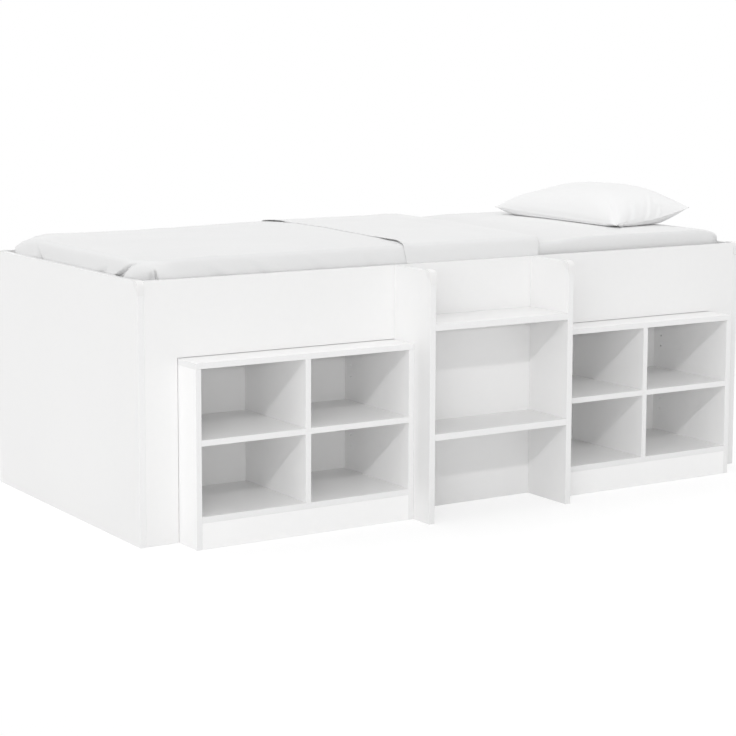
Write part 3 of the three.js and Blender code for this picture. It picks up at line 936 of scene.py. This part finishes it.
def turned_sheet():
    """The top sheet, turned back over the blanket, round whose head end it is folded."""
    bm = laid_block(SHEET_SIDE, SHEET_TOP, SHEET_SIDE)
    cut(bm, Vector((0, 0, HEM_HEIGHT)), Vector((0, 0, -1)))
    fold_normal = line_normal(FOLD_FRONT_X, FOLD_BACK_X)
    free_normal = line_normal(FREE_FRONT_X, FREE_BACK_X)
    cut(bm, Vector((FOLD_FRONT_X, FRONT_LOW.y, 0)) - fold_normal * FOLD_ROLL, fold_normal)
    cut(bm, Vector((FREE_FRONT_X, FRONT_LOW.y, 0)), -free_normal)
    refined(bm, lambda p: past_line(p, FREE_FRONT_X, FREE_BACK_X) < EDGE_FINE_REACH)
    for vert in bm.verts:
        point, normal = vert.co.copy(), vert.normal.copy()
        past = past_line(point, FREE_FRONT_X, FREE_BACK_X)
        before_fold = -past_line(point, FOLD_FRONT_X, FOLD_BACK_X)
        up = step(point.z, MAT_HIGH.z - SHEET_TOP_BEGINS, MAT_HIGH.z + SHEET_TOP_IS_WHOLE)
        edge = 1 - step(past, 0, EDGE_SHIFT_REACH)
        edge_x = curve_through(FREE_EDGE, point.y)
        if point.y < 0:
            edge_x += EDGE_SWEEP_AT_SIDE * step(MAT_HIGH.z - point.z, 0.0, EDGE_SWEEP_OVER)
        vert.co.x += (edge_x - line_x(point.y, FREE_FRONT_X, FREE_BACK_X)) * edge
        gap = OPEN_FRONT_GAP * hump(point.y, *OPEN_FRONT) + OPEN_BACK_GAP * hump(point.y, *OPEN_BACK)
        gap = (gap - EDGE_PRESSED_IN) * up + EDGE_GAP_AT_SIDE * (1 - up)
        curl = (1 - step(past, 0, EDGE_CURL_REACH)) ** 2
        puff = PUFF * hump(before_fold, *PUFF_REACH) * up * (0.6 + 0.4 * ripple(point, 4, 7, 4, 21.0))
        ease = crumple(point, 47.0) * SHEET_EASE * (1 - curl)
        move = kept_clear(cloth_waves(point) + ease, point, normal, SHEET_SIDE, SHEET_SIDE)
        vert.co += normal * (move + gap * curl + puff)
    round_the_fold(bm, fold_normal)
    piece = object_of("turned_sheet_laid", bm, SHEET_CLOTH)
    placed(piece, "turned_sheet")
    thickened(piece, *SHEET_THICKNESS)
    woven(piece)


def round_the_fold(bm, towards):
    """Carries the sheet's head-side edge round a half turn and back under itself."""
    bm.normal_update()
    edges = [e for e in bm.edges if e.is_boundary
             and all(abs(past_line(v.co, FOLD_FRONT_X, FOLD_BACK_X) + FOLD_ROLL) < 2 * MM for v in e.verts)]
    start = {v: (v.co.copy(), v.normal.copy()) for e in edges for v in e.verts}
    current = {v: v for v in start}
    for i in range(1, FOLD_STEPS + 2):
        made = bmesh.ops.extrude_edge_only(bm, edges=edges)
        new_edges = [g for g in made["geom"] if isinstance(g, bmesh.types.BMEdge)]
        new_verts = [g for g in made["geom"] if isinstance(g, bmesh.types.BMVert)]
        lookup = {tuple(round(c, 6) for c in v.co): v for v in new_verts}
        following = {}
        for origin, old in current.items():
            fresh = lookup[tuple(round(c, 6) for c in old.co)]
            place, normal = start[origin]
            radius = FOLD_ROLL * (0.5 + 0.5 * step(place.z, MAT_HIGH.z - FOLD_TIGHTENS_OVER, MAT_HIGH.z))
            angle = math.pi * min(i, FOLD_STEPS) / FOLD_STEPS
            back = FOLD_RUNS_BACK if i > FOLD_STEPS else 0.0
            inward = normal * (math.cos(angle) - 1) * radius
            fresh.co = place + towards * (math.sin(angle) * radius - back) + inward
            following[origin] = fresh
        current = following
        edges = new_edges
    bm.normal_update()


PILLOW_STEPS_X = 64
PILLOW_STEPS_Y = 120
# The sewn case, before it is filled, is longer and wider than the settled pillow
CASE_LONGER = 1.04
CASE_WIDER = 1.07
SEWN_DISTANCE = 0.05 * MM
ON_SEAM = 0.01 * MM
FILLING_FRAMES = 22
SMOOTHINGS = 24
# How far the corner tips lie inside the space that is kept for the pillow
PILLOW_HEAD_GAP = 36 * MM
PILLOW_FRONT_GAP = 13 * MM
# The pillow sits this high on the mattress's swell, and its underside leaves it with this soft a bend
SEAT_ON_SWELL = 0.95
SEAT_SOFTNESS = 3 * MM
# How far the seam stands over the mattress, at its lowest and at each corner, and the filling's height over
# and under it
SEAM_RISE = 6 * MM
TIP_FRONT_FOOT = 2 * MM
TIP_BACK_FOOT = 17 * MM
TIP_FRONT_HEAD = 46 * MM
TIP_BACK_HEAD = 44 * MM
TIP_POWER = 2.5
PILLOW_SEAT = PILLOW_LOW.z + SEAT_ON_SWELL * SWELL
PILLOW_CROWN = 104 * MM
UNDER_SEAM = 52 * MM
# The filling is fuller towards the front corner at the head end, and leaner towards the back corner at the
# foot end: how much, and where on that diagonal, from -1 at the back to 1 at the front
FULLER_AT_HEAD = 0.13
FULLER_FROM_TO = (-0.2, 0.8)
LEANER_AT_FOOT = 0.10
LEANER_FROM_TO = (-1.0, -0.1)
CROWN_POWER = 2.6
CROWN_ROUNDNESS = 0.51
SIDES_DRAWN_IN = 0.11
ENDS_DRAWN_IN = 0.07
# The seam stands out this far, but not at the corner tips
SEAM_STANDS_OUT = 1.5 * MM
CORNER_SHARE = 0.98
# How much of the simulation's wrinkles the pillow keeps, and the most that they may move a point
WRINKLE_SHARE = 0.5
WRINKLE_MOST = 3.0 * MM
WRINKLE_AT_SEAM = 1.5 * MM


def pillow_case(length, width, start_height):
    """Two layers of cloth, sewn together round their edge, a little apart in the middle."""
    bm = bmesh.new()
    bmesh.ops.create_grid(bm, x_segments=PILLOW_STEPS_X, y_segments=PILLOW_STEPS_Y, size=1.0, calc_uvs=True)
    layer = bm.loops.layers.uv.active or bm.loops.layers.uv.new(CLOTH_UV)
    for face in bm.faces:
        for loop in face.loops:
            loop[layer].uv = (loop.vert.co.x * width / 2, loop.vert.co.y * length / 2)
    for vert in bm.verts:
        u, v = vert.co.x, vert.co.y
        rise = max(0.0, (1 - u ** 2) * (1 - v ** 2)) ** 0.5
        vert.co = Vector((u * width / 2, v * length / 2, rise * start_height / 2))
    lower = bmesh.ops.duplicate(bm, geom=list(bm.verts) + list(bm.edges) + list(bm.faces))["geom"]
    bmesh.ops.scale(bm, vec=(1, 1, -1), verts=[g for g in lower if isinstance(g, bmesh.types.BMVert)])
    bmesh.ops.reverse_faces(bm, faces=[g for g in lower if isinstance(g, bmesh.types.BMFace)])
    bmesh.ops.remove_doubles(bm, verts=bm.verts, dist=SEWN_DISTANCE)
    bmesh.ops.recalc_face_normals(bm, faces=bm.faces)
    return bm


def filled(piece, frames):
    """Blows the case up with a cloth simulation, and keeps the shape that it takes."""
    cloth = piece.modifiers.new("filling", "CLOTH")
    settings = cloth.settings
    settings.quality = 6
    settings.mass = 0.2
    settings.tension_stiffness = 25
    settings.compression_stiffness = 25
    settings.shear_stiffness = 8
    settings.bending_stiffness = 0.25
    settings.use_pressure = True
    settings.uniform_pressure_force = 4.0
    settings.effector_weights.gravity = 0
    cloth.collision_settings.use_collision = False
    cloth.collision_settings.use_self_collision = False
    cloth.point_cache.frame_start = 1
    cloth.point_cache.frame_end = frames
    scene = bpy.context.scene
    for frame_number in range(1, frames + 1):
        scene.frame_set(frame_number)
    apply_modifiers(piece)
    scene.frame_set(1)


def seam_height(u, v):
    """How far the seam's surface stands over the mattress; u runs to the head end, v to the back."""
    foot, head, front, back = (1 - u) / 2, (1 + u) / 2, (1 - v) / 2, (1 + v) / 2
    corners = ((foot * front, TIP_FRONT_FOOT), (foot * back, TIP_BACK_FOOT), (head * front, TIP_FRONT_HEAD),
               (head * back, TIP_BACK_HEAD))
    return SEAM_RISE + sum(tip * max(0.0, near) ** TIP_POWER for near, tip in corners)


def settled(u, v, layer, middle, half):
    """Where a point of the case lies when the pillow has settled; layer is 1 on top and -1 below."""
    dome = max(0.0, (1 - abs(u) ** CROWN_POWER) * (1 - abs(v) ** CROWN_POWER)) ** CROWN_ROUNDNESS
    if layer > 0:
        diagonal = (u - v) / 2
        fuller = FULLER_AT_HEAD * step(diagonal, *FULLER_FROM_TO)
        leaner = LEANER_AT_FOOT * hump(diagonal, *LEANER_FROM_TO)
        rise = seam_height(u, v) + PILLOW_CROWN * (1 + fuller - leaner) * dome
    else:
        rise = seam_height(u, v) - UNDER_SEAM * dome
        rise = (rise + math.hypot(rise, SEAT_SOFTNESS)) / 2
    x = middle.x + u * half.x * (1 - SIDES_DRAWN_IN * (1 - v * v))
    y = middle.y + v * half.y * (1 - ENDS_DRAWN_IN * (1 - u * u))
    return Vector((x, y, PILLOW_SEAT + rise))


# The creases that show on the pillow's front end, from the seam upwards; the first is a ridge
PILLOW_FOLDS = [
    Fold((0.704, -0.190, 0.754), (0.752, -0.105, 0.837), 9 * MM, -3.0 * MM, -2.0 * MM, end_width=1.0),
    Fold((0.835, -0.190, 0.761), (0.905, -0.095, 0.847), 5 * MM, 3.0 * MM, 3.0 * MM, end_width=1.0),
    Fold((0.875, -0.190, 0.767), (0.938, -0.100, 0.835), 4 * MM, 2.5 * MM, 2.5 * MM, end_width=1.0),
    Fold((0.775, -0.190, 0.759), (0.830, -0.115, 0.829), 8 * MM, 1.2 * MM, 1.2 * MM, end_width=1.0),
]


def pillow():
    """A pillow in its case, sewn on all four sides, settled on the mattress with its tips raised."""
    low = Vector((PILLOW_LOW.x, PILLOW_LOW.y + PILLOW_FRONT_GAP, 0))
    high = Vector((PILLOW_HIGH.x - PILLOW_HEAD_GAP, PILLOW_HIGH.y, 0))
    middle, half = (low + high) / 2, (high - low) / 2
    length, width = half.y * 2 * CASE_LONGER, half.x * 2 * CASE_WIDER
    bm = pillow_case(length, width, PILLOW_CROWN)
    threads = [(v.co.x * 2 / width, v.co.y * 2 / length, 1 if v.co.z >= 0 else -1) for v in bm.verts]
    seam = [abs(v.co.z) < ON_SEAM for v in bm.verts]
    piece = object_of("pillow_filled", bm, PILLOW_CLOTH)
    filled(piece, FILLING_FRAMES)
    bm = bmesh.new()
    bm.from_mesh(piece.data)
    wrinkled = [vert.co.copy() for vert in bm.verts]
    for _ in range(SMOOTHINGS):
        smoothed(bm)
    for vert, place, (u, v, layer), sewn in zip(bm.verts, wrinkled, threads, seam):
        wrinkle = (place - vert.co) * WRINKLE_SHARE
        most = WRINKLE_AT_SEAM if sewn else WRINKLE_MOST
        if wrinkle.length > most:
            wrinkle *= most / wrinkle.length
        u, v = math.sin(u * math.pi / 2), math.sin(v * math.pi / 2)
        vert.co = settled(u, v, layer, middle, half) + wrinkle
        if sewn and min(abs(u), abs(v)) < CORNER_SHARE:
            outwards = Vector((vert.co.x - middle.x, vert.co.y - middle.y, 0)).normalized()
            vert.co += outwards * SEAM_STANDS_OUT
        vert.co.z = max(vert.co.z, PILLOW_SEAT)
    bm.normal_update()
    moves = [sum(f.lift(vert.co, vert.normal) for f in PILLOW_FOLDS) for vert in bm.verts]
    for vert, move in zip(bm.verts, moves):
        vert.co += vert.normal * move
    bm.to_mesh(piece.data)
    bm.free()
    placed(piece, "pillow")
    piece.data.shade_smooth()


mattress()
blanket()
turned_sheet()
pillow()
boards()
fittings()


# Camera, light and floor


def camera():
    """The photograph's view of the bed, with the lens shifted a little."""
    data = bpy.data.cameras.new("camera")
    data.lens = CAMERA_LENS
    data.sensor_width = CAMERA_SENSOR
    data.shift_y = CAMERA_SHIFT
    view = bpy.data.objects.new("camera", data)
    bpy.context.scene.collection.objects.link(view)
    azimuth, drop = math.radians(CAMERA_AZIMUTH), math.radians(CAMERA_DROP)
    ahead = Vector((math.sin(azimuth) * math.cos(drop), math.cos(azimuth) * math.cos(drop), -math.sin(drop)))
    turn = ahead.to_track_quat("-Z", "Y").to_matrix().to_4x4()
    roll = Matrix.Rotation(math.radians(CAMERA_ROLL), 4, "Z")
    view.matrix_world = Matrix.Translation(CAMERA_PLACE) @ turn @ roll
    bpy.context.scene.camera = view


def lamp_of(name, data, place, towards):
    """Hangs a lamp at a place; the vector runs from the bed towards the lamp."""
    lamp = bpy.data.objects.new(name, data)
    bpy.context.scene.collection.objects.link(lamp)
    lamp.location = place
    lamp.rotation_mode = "QUATERNION"
    lamp.rotation_quaternion = towards.to_track_quat("Z", "Y")


def strip(name, slope, strength):
    """A long level strip of light, far in front of the bed, as high as its slope says."""
    middle = Vector((0, FRONT_LOW.y, BED_TOP / 2))
    reach = STRIP_DISTANCE
    straight = Vector((0, -reach, slope * reach))
    place = middle + straight + Vector((STRIP_MIDDLE_SHARE * reach, 0, 0))
    data = bpy.data.lights.new(name, "AREA")
    data.shape = "RECTANGLE"
    data.size = STRIP_LENGTH_SHARE * reach
    data.size_y = STRIP_THICKNESS
    data.energy = strength * math.pi ** 2 * straight.length_squared
    lamp_of(name, data, place, straight)


def soft_light(name, towards, strength, softness):
    """A light from a wide patch of the sky, so many degrees across."""
    data = bpy.data.lights.new(name, "SUN")
    data.energy = strength * math.pi
    data.angle = math.radians(softness)
    lamp_of(name, data, Vector(), towards)


def seen_directly(tree):
    """1 for rays from the camera and for those that a gloss or glass sends on."""
    rays = ("Is Camera Ray", "Is Glossy Ray", "Is Transmission Ray")
    camera_ray, gloss_ray, glass_ray = [tree.node("ShaderNodeLightPath", {}, {}, ray) for ray in rays]
    return camera_ray.most(gloss_ray).most(glass_ray)


def world():
    """An even sky, which is white where it is seen directly."""
    made = bpy.data.worlds.new("studio")
    bpy.context.scene.world = made
    made.use_nodes = True
    tree = Tree(made.node_tree)
    inputs = {0: seen_directly(tree), 2: WORLD_STRENGTH, 3: 1.0}
    background = made.node_tree.nodes["Background"]
    tree.feed(background.inputs["Color"], (1, 1, 1, 1))
    tree.feed(background.inputs["Strength"], tree.node("ShaderNodeMix", {"data_type": "FLOAT"}, inputs))


def floor():
    """A pale floor. Seen directly it is white but for the bed's own shadow, and fades into the sky."""
    shade = Shade("pale floor")
    shade.tree.nodes.remove(shade.shader)

    def dull(colour):
        return shade.node("ShaderNodeBsdfDiffuse", {}, {"Color": grey(colour)})

    def glow(colour):
        return shade.node("ShaderNodeEmission", {}, {"Color": grey(colour)})

    def mixed(factor, first, second):
        return shade.node("ShaderNodeMixShader", {}, {0: factor, 1: first, 2: second})

    near = shade.node("ShaderNodeAddShader", {}, {0: dull(FLOOR_SHADOW), 1: glow(FLOOR_GLOW)})
    away = shade.node("ShaderNodeVectorMath", {"operation": "LENGTH"}, {0: shade.place()}, "Value")
    fade = away.ramp(BED_LENGTH * FLOOR_FADES, BED_LENGTH * FLOOR_IS_WHITE)
    surface = mixed(seen_directly(shade), dull(FLOOR_BOUNCE), mixed(fade, near, glow(1.0)))
    shade.feed(shade.tree.nodes["Material Output"].inputs["Surface"], surface)
    bm = bmesh.new()
    bmesh.ops.create_grid(bm, x_segments=2, y_segments=2, size=FLOOR_SIZE)
    object_of("floor", bm, shade.material)


camera()
strip("key", KEY_SLOPE, KEY_STRENGTH)
strip("fill", FILL_SLOPE, FILL_STRENGTH)
soft_light("top light", TOP_TOWARDS, TOP_STRENGTH, TOP_SOFTNESS)
soft_light("foot light", FOOT_TOWARDS, FOOT_STRENGTH, FOOT_SOFTNESS)
world()
floor()
bpy.context.scene.view_settings.view_transform = "Standard"
